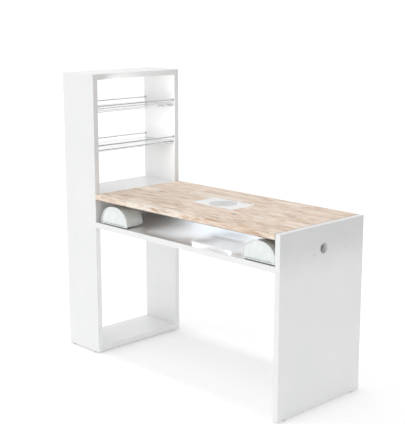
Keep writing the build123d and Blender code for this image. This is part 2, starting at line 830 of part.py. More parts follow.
# ------------------------------------------------------------------ fan
with BuildPart() as fan_guard:
    with BuildSketch(Plane.XY.offset(guard_low)):
        with Locations((plate_x, plate_y)):
            for radius in guard_rings:
                Circle(radius + guard_wire / 2)
                Circle(radius - guard_wire / 2, mode=Mode.SUBTRACT)
            with PolarLocations((guard_rings[0] + guard_rings[-1]) / 2, 4, start_angle=45):
                Rectangle(guard_rings[-1] - guard_rings[0], guard_wire)
        with Locations(*fan_screws_at):
            Circle(guard_eye_radius)
            Circle(fan_screw_radius + screw_clearance, mode=Mode.SUBTRACT)
    extrude(amount=guard_thickness)
    with BuildSketch(Plane.XY.offset(guard_low)):
        arm = fan_hole_spacing / math.sqrt(2) - guard_rings[-1] - guard_eye_radius + guard_wire
        with Locations((plate_x, plate_y)):
            with PolarLocations(guard_rings[-1] + arm / 2, 4, start_angle=45):
                Rectangle(arm, 2 * guard_wire)
    extrude(amount=guard_thickness)
save(fan_guard, "fan_guard")

with BuildPart() as fan_frame:
    with BuildSketch(Plane.XY.offset(fan_low)):
        with Locations((plate_x, plate_y)):
            RectangleRounded(fan_size, fan_size, fan_corner)
            Circle(fan_bore_radius, mode=Mode.SUBTRACT)
    extrude(amount=fan_thickness)
    with BuildSketch(Plane.XY.offset(fan_low)):
        with Locations((plate_x, plate_y)):
            Circle(motor_base_radius)
            with PolarLocations(fan_bore_radius / 2, strut_count, start_angle=strut_turn):
                Rectangle(fan_bore_radius + strut_width, strut_width)
    extrude(amount=strut_thickness)
    with BuildSketch(Plane.XY.offset(boss_low)):
        with Locations((plate_x, plate_y)):
            Circle(boss_radius)
    extrude(amount=boss_height)
    with BuildSketch(Plane.XY.offset(boss_low)):
        with Locations((plate_x, plate_y)):
            Circle(bearing_radius)
    extrude(amount=boss_height, mode=Mode.SUBTRACT)
    with BuildSketch(Plane.XY.offset(fan_low)):
        with Locations(*fan_screws_at):
            Circle(fan_screw_radius + screw_clearance)
    extrude(amount=fan_thickness, mode=Mode.SUBTRACT)
save(fan_frame, "fan_frame")

with BuildPart() as fan_screws:
    headed_screws(fan_screws_at, fan_low - screw_head, fan_screw_head_radius, screw_head,
                  fan_screw_radius, fan_thickness + guard_thickness + sheet - fan_screw_tip_gap)
save(fan_screws, "fan_screws")

with BuildPart() as fan_bearings:
    for height in bearings_at:
        with BuildSketch(Plane.XY.offset(height)):
            with Locations((plate_x, plate_y)):
                Circle(bearing_radius - shaft_clearance)
                Circle(shaft_radius + shaft_clearance, mode=Mode.SUBTRACT)
        extrude(amount=bearing_width)
save(fan_bearings, "fan_bearings")

with BuildPart() as fan_stator:
    with BuildSketch(Plane.XY.offset(boss_low + stator_lift)):
        with Locations((plate_x, plate_y)):
            Circle(stator_radius)
            with PolarLocations(stator_radius - slot_setback, 4):
                Rectangle(slot_depth, slot_width, mode=Mode.SUBTRACT)
            Circle(boss_radius + shaft_clearance, mode=Mode.SUBTRACT)
    extrude(amount=stator_height)
save(fan_stator, "fan_stator")

with BuildPart() as fan_impeller:
    with BuildSketch(Plane.XY.offset(rotor_low)):
        with Locations((plate_x, plate_y)):
            Circle(hub_radius)
    extrude(amount=hub_height)
    blade_root = hub_radius - blade_root_inset
    for step in range(blade_count):
        heading = Vector(1, 0, 0).rotate(Axis.Z, step * 360.0 / blade_count)
        root = Vector(plate_x, plate_y, (rotor_low + rotor_top) / 2) + heading * blade_root
        with BuildSketch(Plane(origin=root, x_dir=UP.cross(heading), z_dir=heading)):
            with Locations(Location((0, 0), blade_pitch)):
                SlotOverall(blade_chord, blade_thickness)
        extrude(amount=blade_tip_radius - blade_root)
    with BuildSketch(Plane.XY.offset(rotor_low)):
        with Locations((plate_x, plate_y)):
            Circle(magnet_radius + shaft_clearance)
    extrude(amount=hub_height - hub_top, mode=Mode.SUBTRACT)
save(fan_impeller, "fan_impeller")

with BuildPart() as fan_magnet_ring:
    with BuildSketch(Plane.XY.offset(rotor_low + magnet_lift)):
        with Locations((plate_x, plate_y)):
            Circle(magnet_radius)
            Circle(magnet_radius - magnet_wall, mode=Mode.SUBTRACT)
    extrude(amount=hub_height - hub_top - magnet_lift)
save(fan_magnet_ring, "fan_magnet_ring")

with BuildPart() as fan_shaft:
    shaft_low = boss_low + shaft_end_gap
    shaft_top = rotor_top - hub_top
    rod(Vector(plate_x, plate_y, (shaft_low + shaft_top) / 2), UP, shaft_radius, shaft_top - shaft_low)
save(fan_shaft, "fan_shaft")

# ------------------------------------------------------------------ rocker switch
switch_face = housing_y[0]
bezel_face = switch_face - bezel_thickness
hinge_y = switch_face - bezel_thickness / 2
pocket_x = (switch_x - rocker_pocket_length / 2, switch_x + rocker_pocket_length / 2)
pocket_z = (switch_z - rocker_pocket_width / 2, switch_z + rocker_pocket_width / 2)
with BuildPart() as switch_body:
    with BuildSketch(Plane.XZ.offset(-switch_face)):
        with Locations((switch_x, switch_z)):
            RectangleRounded(bezel_length, bezel_width, bezel_corner)
    extrude(amount=bezel_thickness)
    switch_span = (switch_x - switch_length / 2, switch_x + switch_length / 2)
    switch_rise = (switch_z - switch_width / 2, switch_z + switch_width / 2)
    block(switch_span, (switch_face, switch_face + switch_depth), switch_rise)
    block(pocket_x, (bezel_face, bezel_face + rocker_pocket_depth), pocket_z, Mode.SUBTRACT)
    trunnion_hole = rocker_length + 2 * (trunnion_reach + trunnion_end_gap)
    rod(Vector(switch_x, hinge_y, switch_z), TO_RIGHT, trunnion_radius + trunnion_clearance, trunnion_hole,
        Mode.SUBTRACT)
save(switch_body, "switch_body")

with BuildPart() as switch_rocker:
    # Side outline about the hinge, in Y and Z, tipped to its off position.
    outline = [
        (-rocker_crown, 0.0),
        (-rocker_edge, rocker_face_half),
        (rocker_back, rocker_back_half),
        (rocker_back, -rocker_back_half),
        (-rocker_edge, -rocker_face_half),
    ]
    with BuildSketch(Plane.YZ.offset(switch_x - rocker_length / 2)) as side:
        with Locations(Location((hinge_y, switch_z), rocker_rest_tilt)):
            Polygon(*outline, align=None)
        fillet(side.vertices(), rocker_corner)
    extrude(amount=rocker_length)
    rod(Vector(switch_x, hinge_y, switch_z), TO_RIGHT, trunnion_radius, rocker_length + 2 * trunnion_reach)
save(switch_rocker, "switch_rocker")

# ------------------------------------------------------------------ power jack and circuit board
jack_face = housing_y[1]
with BuildPart() as power_jack:
    rod(Vector(switch_x, jack_face + sheet / 2, switch_z), TO_BACK, jack_flange_radius, sheet)
    rod(Vector(switch_x, jack_face - jack_length / 2, switch_z), TO_BACK, jack_barrel_radius, jack_length)
    bore_middle = jack_face + sheet - jack_bore_depth / 2
    rod(Vector(switch_x, bore_middle, switch_z), TO_BACK, jack_bore_radius, jack_bore_depth, Mode.SUBTRACT)
    rod(Vector(switch_x, bore_middle - jack_pin_recess / 2, switch_z), TO_BACK, jack_pin_radius,
        jack_bore_depth - jack_pin_recess)
save(power_jack, "power_jack")

with BuildPart() as power_jack_nut:
    with BuildSketch(Plane.XZ.offset(sheet - jack_face)):
        with Locations((switch_x, switch_z)):
            RegularPolygon(jack_nut_radius, 6)
            Circle(jack_barrel_radius + shaft_clearance, mode=Mode.SUBTRACT)
    extrude(amount=jack_nut_thickness)
save(power_jack_nut, "power_jack_nut")

with BuildPart() as circuit_board:
    block(circuit_x, circuit_y, (circuit_low, circuit_top))
save(circuit_board, "circuit_board")

with BuildPart() as board_standoffs:
    with BuildSketch(Plane.XY.offset(housing_low)):
        with Locations(*standoffs_at):
            Circle(standoff_radius)
    extrude(amount=circuit_lift)
save(board_standoffs, "board_standoffs")

with BuildPart() as terminal_block:
    block(terminal_x, terminal_y, (circuit_top, circuit_top + terminal_height))
    chamfer(edges().group_by(Axis.Z)[-1], component_edge)
save(terminal_block, "terminal_block")

with BuildPart() as capacitor:
    capacitor_reach = capacitor_inset + capacitor_radius
    capacitor_at = (circuit_x[0] + capacitor_reach, circuit_y[1] - capacitor_reach)
    with BuildSketch(Plane.XY.offset(circuit_top)):
        with Locations(capacitor_at):
            Circle(capacitor_radius)
    extrude(amount=capacitor_height)
    fillet(edges().group_by(Axis.Z)[-1], component_edge)
save(capacitor, "capacitor")


def wire(points, name):
    """An insulated lead: straight runs joined by tangent arcs, square to the faces at both ends."""
    with BuildPart() as lead:
        with BuildLine() as route:
            FilletPolyline(*points, radius=lead_bend)
        with BuildSketch(Plane(origin=points[0], z_dir=route.line % 0)):
            Circle(lead_radius)
        sweep()
    save(lead, name)


lead_y = (terminal_y[0] + terminal_y[1]) / 2
lead_x = (fan_side + terminal_x[0]) / 2
lead_z = fan_low + fan_lead_rise
wire([
    Vector(terminal_x[0], lead_y, terminal_z),
    Vector(lead_x, lead_y, terminal_z),
    Vector(lead_x, lead_y, lead_z),
    Vector(fan_side, lead_y, lead_z),
], "fan_lead")
switch_back = switch_face + switch_depth
turn_y = (switch_back + terminal_y[0]) / 2
wire([
    Vector(switch_x, switch_back, switch_z),
    Vector(switch_x, turn_y, switch_z),
    Vector(switch_x, turn_y, terminal_z),
    Vector(switch_x, terminal_y[0], terminal_z),
], "switch_lead")
jack_end = jack_face - jack_length
jack_turn = jack_end - jack_lead_reach
wire([
    Vector(switch_x, jack_end, switch_z),
    Vector(switch_x, jack_turn, switch_z),
    Vector(switch_x, jack_turn, terminal_z),
    Vector(switch_x, terminal_y[1], terminal_z),
], "jack_lead")


# ------------------------------------------------------------------ arm rests
def d_outline(width, height):
    """A D lying on its flat side, in the open sketch: half an ellipse."""
    Ellipse(width / 2, height)
    with Locations((0, -height / 2)):
        Rectangle(width, height, mode=Mode.SUBTRACT)


def arm_rest(side, centre_x):
    """A padded rest: its cushion, the board under it and the felt feet."""
    foot_low = tray_top
    base_low = foot_low + rest_foot
    cushion_low = base_low + rest_base
    rest_front = front + rest_setback
    with BuildPart() as cushion:
        shape = (
            (0.0, rest_width, rest_height),
            (rest_middle * rest_length, rest_middle_width, rest_middle_height),
            (rest_length, rest_back_width, rest_back_height),
        )
        for distance, width, height in shape:
            with BuildSketch(Plane(origin=(centre_x, rest_front + distance, cushion_low), x_dir=(1, 0, 0),
                                   z_dir=(0, -1, 0))):
                d_outline(width, height)
        loft()
    save(cushion, f"{side}_rest_cushion")

    inset = rest_base_inset
    with BuildPart() as base:
        with BuildSketch(Plane.XY.offset(base_low)):
            with BuildLine():
                Polyline(
                    (centre_x - rest_width / 2 + inset, rest_front + inset),
                    (centre_x + rest_width / 2 - inset, rest_front + inset),
                    (centre_x + rest_back_width / 2 - inset, rest_front + rest_length - inset),
                    (centre_x - rest_back_width / 2 + inset, rest_front + rest_length - inset),
                    close=True,
                )
            make_face()
        extrude(amount=rest_base)
        fillet(edges().filter_by(Axis.Z), 2 * inset)
    save(base, f"{side}_rest_base")

    with BuildPart() as feet:
        half_front = rest_width / 2 - rest_foot_inset
        half_back = rest_back_width / 2 - rest_foot_inset
        near = rest_front + rest_foot_inset
        far = rest_front + rest_length - rest_foot_inset
        with BuildSketch(Plane.XY.offset(foot_low)):
            with Locations(
                (centre_x - half_front, near), (centre_x + half_front, near),
                (centre_x - half_back, far), (centre_x + half_back, far),
            ):
                Circle(rest_foot_radius)
        extrude(amount=rest_foot)
    save(feet, f"{side}_rest_feet")


arm_rest("left", tower_face + rest_tower_gap + rest_width / 2)
arm_rest("right", end_inner - rest_panel_gap - rest_width / 2)
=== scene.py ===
"""Looks for a manicure table with a shelf tower and a dust collector let into its wooden top."""

import json
import math

import bmesh
import bpy
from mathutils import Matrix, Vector


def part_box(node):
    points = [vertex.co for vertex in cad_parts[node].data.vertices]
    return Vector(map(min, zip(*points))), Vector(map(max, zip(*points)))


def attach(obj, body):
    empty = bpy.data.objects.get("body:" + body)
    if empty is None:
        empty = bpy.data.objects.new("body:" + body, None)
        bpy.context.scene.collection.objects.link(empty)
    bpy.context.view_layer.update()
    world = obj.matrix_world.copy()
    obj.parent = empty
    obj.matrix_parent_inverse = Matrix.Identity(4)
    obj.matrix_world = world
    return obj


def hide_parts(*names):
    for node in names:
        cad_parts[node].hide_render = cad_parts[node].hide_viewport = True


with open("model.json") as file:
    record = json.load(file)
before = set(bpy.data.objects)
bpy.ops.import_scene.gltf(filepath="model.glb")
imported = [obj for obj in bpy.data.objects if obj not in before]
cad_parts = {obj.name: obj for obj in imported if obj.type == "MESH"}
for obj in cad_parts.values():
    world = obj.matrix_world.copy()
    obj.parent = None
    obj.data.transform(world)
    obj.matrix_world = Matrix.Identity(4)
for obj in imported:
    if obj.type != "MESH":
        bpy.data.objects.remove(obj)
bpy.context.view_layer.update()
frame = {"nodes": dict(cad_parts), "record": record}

MM = 0.001

# ------------------------------------------------------------------ view and light
CAMERA_PLACE = (3.1133, -3.0343, 1.6279)
CAMERA_AZIMUTH = 45.886  # degrees; 0 looks along +Y
CAMERA_ELEVATION = 11.931
CAMERA_LENS = 85.63  # mm on a sensor 36 mm along the long side
SENSOR = 36.0
SIDES = {"left": (-1, 0, 0), "right": (1, 0, 0), "front": (0, -1, 0), "back": (0, 1, 0), "above": (0, 0, 1)}
# How bright the studio is all round, and what each wall adds towards its own side.
WALLS = {"even": 0.17, "left": 0.96, "right": 0.42, "front": 0.5, "back": 0.0, "above": 0.28}
# Lamp strengths: W/m2 for the overhead and front softboxes, W for the fills.
OVERHEAD = 0.5
FRONTAL = 0.12
SHELF_FILL = 0.6
BAY_FILL = 0.58  # shared by the two bay lamps
PAPER_GLOW = 0.15  # the floor's own light
OVERHEAD_PLACE = (0, 0, 2.0)
OVERHEAD_SOFTNESS = 10  # degrees across, as the object sees it
FRONTAL_PLACE = (-0.1, -0.75, 2.0)
FRONTAL_SOFTNESS = 20
SHELF_LAMP_PLACE = (-0.38, -0.22, 1.08)  # beside the tower, lighting its shelves from the front
SHELF_LAMP_AIM = (-0.52, 0.24, 1.08)
SHELF_LAMP_SIZE = (0.1, 0.34)
SHELF_LAMP_SPREAD = 110  # degrees
BAY_LAMP_MIDDLES = {"left": -0.05, "right": 0.3}  # along X, between the arm rests
BAY_LAMP_FRONT = -0.255  # just inside the front edge
BAY_LAMP_AIM = 0.1  # towards the bay's back panel
BAY_LAMP_HEIGHT = 0.68
BAY_LAMP_SIZE = (0.2, 0.07)
BAY_LAMP_SPREAD = 75
BAY_LAMP_COLOUR = (0.84, 0.92, 1.0)  # linear; slightly cool


def toward(azimuth, elevation):
    """The way from the object to a viewer or lamp at those angles in degrees."""
    around, up = math.radians(azimuth), math.radians(elevation)
    return Vector((math.sin(around) * math.cos(up), -math.cos(around) * math.cos(up), math.sin(up)))


def make_camera():
    camera = bpy.data.objects.new("camera", bpy.data.cameras.new("camera"))
    bpy.context.scene.collection.objects.link(camera)
    camera.data.sensor_width = SENSOR
    camera.data.lens = CAMERA_LENS
    camera.data.clip_end = 2 * FLOOR_REACH
    camera.location = CAMERA_PLACE
    camera.rotation_mode = "QUATERNION"
    camera.rotation_quaternion = (-toward(CAMERA_AZIMUTH, CAMERA_ELEVATION)).to_track_quat("-Z", "Y")
    bpy.context.scene.camera = camera


def make_lamp(name, kind, place, aim, energy, **settings):
    """A soft lamp at `place` facing `aim`; the camera doesn't see it, and a fill lamp has no mirror image."""
    lamp = bpy.data.objects.new(name, bpy.data.lights.new(name, kind))
    bpy.context.scene.collection.objects.link(lamp)
    lamp.data.energy = energy
    for setting, value in settings.items():
        setattr(lamp.data, setting, value)
    lamp.visible_camera = lamp.visible_transmission = False
    lamp.visible_glossy = kind == "SUN"
    lamp.location = place
    lamp.rotation_mode = "QUATERNION"
    lamp.rotation_quaternion = (Vector(aim) - Vector(place)).to_track_quat("-Z", "Y")


def light_scene():
    """A white studio whose walls differ in brightness, lit by five softboxes: overhead, front, shelves
    and two in the bay."""
    scene = bpy.context.scene
    scene.view_settings.view_transform = "Standard"
    scene.view_settings.look = "None"
    scene.cycles.use_denoising = True
    world = bpy.data.worlds.new("studio")
    world.use_nodes = True
    tree = world.node_tree
    way = add(tree, "ShaderNodeTexCoord").outputs["Generated"]
    strength = WALLS["even"]
    for side, axis in SIDES.items():
        facing = add(tree, "ShaderNodeVectorMath", {0: way, 1: axis}, operation="DOT_PRODUCT")
        seen = arithmetic(tree, "MAXIMUM", facing.outputs["Value"], 0.0)
        lobe = arithmetic(tree, "MULTIPLY", seen, WALLS[side])
        strength = arithmetic(tree, "ADD", lobe, strength)
    backdrop = tree.nodes["Background"]
    backdrop.inputs["Color"].default_value = (1.0, 1.0, 1.0, 1.0)
    tree.links.new(strength, backdrop.inputs["Strength"])
    scene.world = world
    centre = (0, 0, 0)
    make_lamp("overhead_softbox", "SUN", OVERHEAD_PLACE, centre, OVERHEAD,
              angle=math.radians(OVERHEAD_SOFTNESS))
    make_lamp("front_softbox", "SUN", FRONTAL_PLACE, centre, FRONTAL, angle=math.radians(FRONTAL_SOFTNESS))
    wide, long = SHELF_LAMP_SIZE
    make_lamp("shelf_softbox", "AREA", SHELF_LAMP_PLACE, SHELF_LAMP_AIM, SHELF_FILL,
              shape="RECTANGLE", size=wide, size_y=long, spread=math.radians(SHELF_LAMP_SPREAD))
    wide, long = BAY_LAMP_SIZE
    for side, middle in BAY_LAMP_MIDDLES.items():
        place = (middle, BAY_LAMP_FRONT, BAY_LAMP_HEIGHT)
        aim = (middle, BAY_LAMP_AIM, BAY_LAMP_HEIGHT)
        make_lamp(f"{side}_bay_softbox", "AREA", place, aim, BAY_FILL / len(BAY_LAMP_MIDDLES),
                  shape="RECTANGLE", size=wide, size_y=long, spread=math.radians(BAY_LAMP_SPREAD),
                  color=BAY_LAMP_COLOUR)


# ------------------------------------------------------------------ material helpers
def linear(colour):
    """An sRGB hex colour as the linear RGBA that sockets take."""
    channels = [int(colour[i : i + 2], 16) / 255 for i in (1, 3, 5)]
    return tuple(c / 12.92 if c <= 0.04045 else ((c + 0.055) / 1.055) ** 2.4 for c in channels) + (1.0,)


def per(size_mm):
    """A texture scale whose features are that many millimetres across."""
    return 1.0 / (size_mm * MM)


def add(tree, kind, sockets=None, **settings):
    """Add a node with its settings; `sockets` holds values, or outputs to link, by name or place."""
    made = tree.nodes.new(kind)
    for name, value in settings.items():
        setattr(made, name, value)
    for name, value in (sockets or {}).items():
        if isinstance(value, bpy.types.NodeSocket):
            tree.links.new(value, made.inputs[name])
        else:
            made.inputs[name].default_value = value
    return made


def begin(name):
    """A named material, its node tree, and the place of each surface point in metres."""
    material = bpy.data.materials.new(name)
    material.use_nodes = True
    tree = material.node_tree
    tree.nodes.clear()
    return material, tree, add(tree, "ShaderNodeTexCoord").outputs["Object"]


def shade(tree, sockets, height=None, strength=0.2, depth_mm=0.1):
    """The surface shader, with an optional bump from `height`, wired to the output."""
    sockets = dict(sockets)
    if height is not None:
        depth = depth_mm * MM
        bump = add(tree, "ShaderNodeBump", {"Height": height, "Strength": strength, "Distance": depth})
        sockets["Normal"] = bump.outputs["Normal"]
    surface = add(tree, "ShaderNodeBsdfPrincipled", sockets)
    add(tree, "ShaderNodeOutputMaterial", {"Surface": surface.outputs["BSDF"]})


def noise(tree, place, size_mm, detail=2.0, roughness=0.5, stretch=(1, 1, 1), distortion=0.0):
    """Cloudy noise of that feature size, drawn out along each axis by `stretch`."""
    scale = tuple(per(size_mm * s) for s in stretch)
    scaled = add(tree, "ShaderNodeVectorMath", {0: place, 1: scale}, operation="MULTIPLY")
    texture = add(
        tree,
        "ShaderNodeTexNoise",
        {"Vector": scaled.outputs[0], "Scale": 1.0, "Detail": detail, "Roughness": roughness,
         "Distortion": distortion},
    )
    return texture.outputs["Fac"]


def ramp(tree, factor, stops):
    """Colours by position along a ramp: stops of (position, hex colour)."""
    made = add(tree, "ShaderNodeValToRGB", {"Fac": factor})
    elements = made.color_ramp.elements
    while len(elements) < len(stops):
        elements.new(0.5)
    for element, (position, colour) in zip(elements, stops):
        element.position = position
        element.color = linear(colour)
    return made.outputs["Color"]


def spread(tree, factor, low, high, start=0.0, end=1.0):
    """`factor` from start..end mapped to low..high."""
    made = add(
        tree,
        "ShaderNodeMapRange",
        {"Value": factor, "From Min": start, "From Max": end, "To Min": low, "To Max": high},
    )
    return made.outputs["Result"]


def mix(tree, factor, first, second):
    """Two colours mixed; each may be a hex colour or an output."""
    first = linear(first) if isinstance(first, str) else first
    second = linear(second) if isinstance(second, str) else second
    made = add(tree, "ShaderNodeMix", {0: factor, 6: first, 7: second}, data_type="RGBA")
    return made.outputs[2]


def arithmetic(tree, operation, first, second=0.0):
    """One sum on one or two numbers, each a value or an output."""
    return add(tree, "ShaderNodeMath", {0: first, 1: second}, operation=operation).outputs[0]


# ------------------------------------------------------------------ boards and wood
def white_gloss_laminate():
    """High-gloss white laminate: even colour, soft reflections broken by a faint orange peel."""
    material, tree, place = begin("white_gloss_laminate")
    cloud = noise(tree, place, 180, detail=3)
    peel = noise(tree, place, 7, detail=2)
    colour = ramp(tree, cloud, [(0.3, "#EDEEEE"), (0.7, "#F1F1F1")])
    shade(
        tree,
        {"Base Color": colour, "Roughness": spread(tree, cloud, 0.05, 0.1), "IOR": 1.52,
         "Coat Weight": 0.6, "Coat Roughness": 0.03},
        height=peel,
        strength=0.02,
        depth_mm=0.2,
    )
    return material


STAVE_WIDTH = 46  # mm
STAVE_LENGTH = 420
GLUE_LINE = 0.4 * MM
KNOT_REACH = (150, 60, 60)  # mm along X, Y and Z from knot to knot
END_LINE = 2.5 * MM  # painted shade: the dark line where the top meets the end panel
ARRIS = 1.5 * MM  # painted shade: the darker lower edge


def oak_staves():
    """Oak butcher's block under matt lacquer: glued staves, streaky grain, pores and a few dark knots, with
    painted shade at the end panel joint and along the lower edge.
    """
    material, tree, place = begin("oak_butchers_block")
    parts = add(tree, "ShaderNodeSeparateXYZ", {"Vector": place}).outputs
    row = arithmetic(tree, "FLOOR", arithmetic(tree, "MULTIPLY", parts["Y"], per(STAVE_WIDTH)))
    slide = add(tree, "ShaderNodeTexWhiteNoise", {"W": row}, noise_dimensions="1D").outputs["Value"]
    along = arithmetic(tree, "ADD", parts["X"], arithmetic(tree, "MULTIPLY", slide, 3 * STAVE_LENGTH * MM))
    laid = add(tree, "ShaderNodeCombineXYZ", {"X": along, "Y": parts["Y"], "Z": parts["Z"]}).outputs[0]
    staves = add(
        tree,
        "ShaderNodeTexBrick",
        {"Vector": laid, "Color1": (0, 0, 0, 1), "Color2": (1, 1, 1, 1), "Mortar": (0.5, 0.5, 0.5, 1),
         "Scale": 1.0, "Mortar Size": GLUE_LINE, "Mortar Smooth": 0.3, "Bias": 0.0,
         "Brick Width": STAVE_LENGTH * MM, "Row Height": STAVE_WIDTH * MM},
        offset=0.0,
        squash=1.0,
    )
    tone = add(tree, "ShaderNodeSeparateColor", {"Color": staves.outputs["Color"]}).outputs[0]
    seed = arithmetic(tree, "ADD", tone, row)
    shift = add(tree, "ShaderNodeTexWhiteNoise", {"W": seed}, noise_dimensions="1D")
    far = add(tree, "ShaderNodeVectorMath", {0: shift.outputs["Color"], "Scale": 7.0}, operation="SCALE")
    moved = add(tree, "ShaderNodeVectorMath", {0: place, 1: far.outputs[0]}, operation="ADD").outputs[0]
    streak = noise(tree, moved, 13, detail=4, roughness=0.6, stretch=(9, 1, 1), distortion=0.5)
    pore = noise(tree, moved, 3, detail=3, roughness=0.7, stretch=(16, 1, 1))
    figure = noise(tree, moved, 45, detail=3, stretch=(4, 1, 1), distortion=1.2)

    base = ramp(
        tree,
        shift.outputs["Value"],
        [(0.0, "#F0DBC8"), (0.25, "#FAF0E4"), (0.5, "#EAD5C1"), (0.75, "#F7E6D6"), (1.0, "#E0C8B2")],
    )
    pale = mix(tree, spread(tree, streak, 0.9, 0.0, 0.32, 0.48), base, "#F8EEE2")
    grained = mix(tree, spread(tree, streak, 0.0, 0.9, 0.52, 0.68), pale, "#B58F70")
    warm = mix(tree, spread(tree, figure, 0.0, 0.45, 0.5, 0.75), grained, "#DDB48E")
    pored = mix(tree, spread(tree, pore, 0.0, 0.5, 0.56, 0.72), warm, "#94715A")

    knot_scale = tuple(per(reach) for reach in KNOT_REACH)
    spots = add(tree, "ShaderNodeVectorMath", {0: place, 1: knot_scale}, operation="MULTIPLY")
    cells = add(tree, "ShaderNodeTexVoronoi", {"Vector": spots.outputs[0], "Scale": 1.0, "Randomness": 1.0})
    chosen = add(tree, "ShaderNodeSeparateColor", {"Color": cells.outputs["Color"]}).outputs[0]
    size = spread(tree, chosen, -0.05, 0.13, 0.55, 1.0)
    rough_edge = arithmetic(tree, "ADD", cells.outputs["Distance"], spread(tree, streak, -0.03, 0.03))
    knot = spread(tree, arithmetic(tree, "SUBTRACT", size, rough_edge), 0.0, 1.0, -0.03, 0.03)
    knotted = mix(tree, knot, pored, "#5C3D2B")
    glued = mix(tree, arithmetic(tree, "MULTIPLY", staves.outputs["Fac"], 0.75), knotted, "#7E5E48")
    low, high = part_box("table_top")
    # painted shade: a dark line where the top meets the end panel, and a darker lower front edge
    end = spread(tree, parts["X"], 0.0, 0.75, high.x - END_LINE - MM, high.x - END_LINE)
    underside_painted_shade = spread(tree, parts["Z"], 0.6, 0.0, low.z + ARRIS, low.z + ARRIS + 2 * MM)
    colour = mix(tree, arithmetic(tree, "MAXIMUM", end, underside_painted_shade), glued, "#6B5140")
    relief = arithmetic(tree, "SUBTRACT", arithmetic(tree, "MULTIPLY", pore, -0.6), staves.outputs["Fac"])
    shade(
        tree,
        {"Base Color": colour, "Roughness": spread(tree, streak, 0.42, 0.58), "IOR": 1.5},
        height=relief,
        strength=0.35,
        depth_mm=0.15,
    )
    return material


def beech_dowel():
    """Plain turned beech: pale pinkish wood with short flecks."""
    material, tree, place = begin("turned_beech")
    fleck = noise(tree, place, 1.5, detail=4, stretch=(5, 5, 1))
    shade(tree, {"Base Color": ramp(tree, fleck, [(0.3, "#C79B72"), (0.7, "#DDB892")]), "Roughness": 0.6},
          height=fleck)
    return material


def black_fibreboard():
    """Black-faced fibreboard: dull, with the felted speckle of pressed fibres."""
    material, tree, place = begin("black_fibreboard")
    fibre = noise(tree, place, 2, detail=5, roughness=0.7)
    shade(tree, {"Base Color": ramp(tree, fibre, [(0.3, "#141414"), (0.7, "#262524")]), "Roughness": 0.75},
          height=fibre, strength=0.3)
    return material


# ------------------------------------------------------------------ metals
HOLE_FIELD = 65 * MM  # reach of the intake plate's holes from its middle
HOLE_RIM = 0.15 * MM


def powder_coat(name="white_powder_coat", pierced=None):
    """White polyester powder coat on sheet steel: satin, with a fine orange peel; `pierced` names a plate
    whose air holes get painted shade on their inner walls."""
    material, tree, place = begin(name)
    peel = noise(tree, place, 1.6, detail=3)
    cloud = noise(tree, place, 60, detail=2)
    colour = ramp(tree, cloud, [(0.3, "#F3F4F4"), (0.7, "#FAFAF9")])
    if pierced:
        low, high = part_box(pierced)
        middle = ((low.x + high.x) / 2, (low.y + high.y) / 2, high.z)
        offset = add(tree, "ShaderNodeVectorMath", {0: place, 1: middle}, operation="SUBTRACT").outputs[0]
        flat = add(tree, "ShaderNodeVectorMath", {0: offset, 1: (1, 1, 0)}, operation="MULTIPLY").outputs[0]
        radius = add(tree, "ShaderNodeVectorMath", {0: flat}, operation="LENGTH").outputs["Value"]
        within = arithmetic(tree, "LESS_THAN", radius, HOLE_FIELD)
        depth = add(tree, "ShaderNodeSeparateXYZ", {"Vector": offset}).outputs["Z"]
        painted_hole_shade = arithmetic(tree, "LESS_THAN", depth, -HOLE_RIM)
        # painted shade: hole walls below the top face, within the hole field, are coloured dark
        colour = mix(tree, arithmetic(tree, "MULTIPLY", within, painted_hole_shade), colour, "#1E1E1E")
    shade(tree, {"Base Color": colour, "Roughness": spread(tree, peel, 0.28, 0.42), "IOR": 1.5},
          height=peel, strength=0.15, depth_mm=0.05)
    return material


def chrome_plate():
    """Decorative chrome: mirror bright, with faint polishing haze."""
    material, tree, place = begin("bright_chrome_plate")
    haze = noise(tree, place, 12, detail=4, roughness=0.6)
    colour = ramp(tree, haze, [(0.2, "#C6C8CC"), (0.8, "#D8D9DB")])
    shade(tree, {"Base Color": colour, "Metallic": 1.0, "Roughness": spread(tree, haze, 0.05, 0.14)},
          height=haze, strength=0.03)
    return material


def zinc_plate():
    """Bright zinc on steel: bluish grey, lightly brushed and mottled."""
    material, tree, place = begin("zinc_plated_steel")
    mottle = noise(tree, place, 2.5, detail=5, roughness=0.7)
    colour = ramp(tree, mottle, [(0.25, "#9EA3A8"), (0.75, "#C3C6C9")])
    shade(tree, {"Base Color": colour, "Metallic": 1.0, "Roughness": spread(tree, mottle, 0.22, 0.42)},
          height=mottle, strength=0.1)
    return material


def die_cast_zinc():
    """Tumbled zinc die casting: dull grey with a grainy skin."""
    material, tree, place = begin("tumbled_zinc_casting")
    grain = noise(tree, place, 0.9, detail=4, roughness=0.7)
    colour = ramp(tree, grain, [(0.25, "#8B8D90"), (0.75, "#A9ABAD")])
    shade(tree, {"Base Color": colour, "Metallic": 1.0, "Roughness": spread(tree, grain, 0.4, 0.6)},
          height=grain, strength=0.3)
    return material


def wound_copper():
    """Enamelled copper windings: fine warm turns with a varnish gloss."""
    material, tree, place = begin("enamelled_copper_windings")
    wave = add(tree, "ShaderNodeTexWave", {"Vector": place, "Scale": per(0.8) / 6.28, "Distortion": 0.4},
               bands_direction="Z")
    turns = wave.outputs["Fac"]
    colour = ramp(tree, turns, [(0.0, "#5E2C12"), (1.0, "#C0703A")])
    shade(tree, {"Base Color": colour, "Metallic": 1.0, "Roughness": spread(tree, turns, 0.25, 0.45)},
          height=turns, strength=0.4)
    return material


# ------------------------------------------------------------------ plastics, rubber, glass
def moulded_plastic(name, dark, light, grain_mm, rough_low, rough_high):
    """Moulded ABS with a spark-eroded grain, drawn a little coarse so that it shows."""
    material, tree, place = begin(name)
    grain = noise(tree, place, grain_mm, detail=3, roughness=0.6)
    shade(
        tree,
        {"Base Color": ramp(tree, grain, [(0.3, dark), (0.7, light)]),
         "Roughness": spread(tree, grain, rough_low, rough_high), "IOR": 1.53},
        height=grain,
        strength=0.25,
        depth_mm=0.05,
    )
    return material


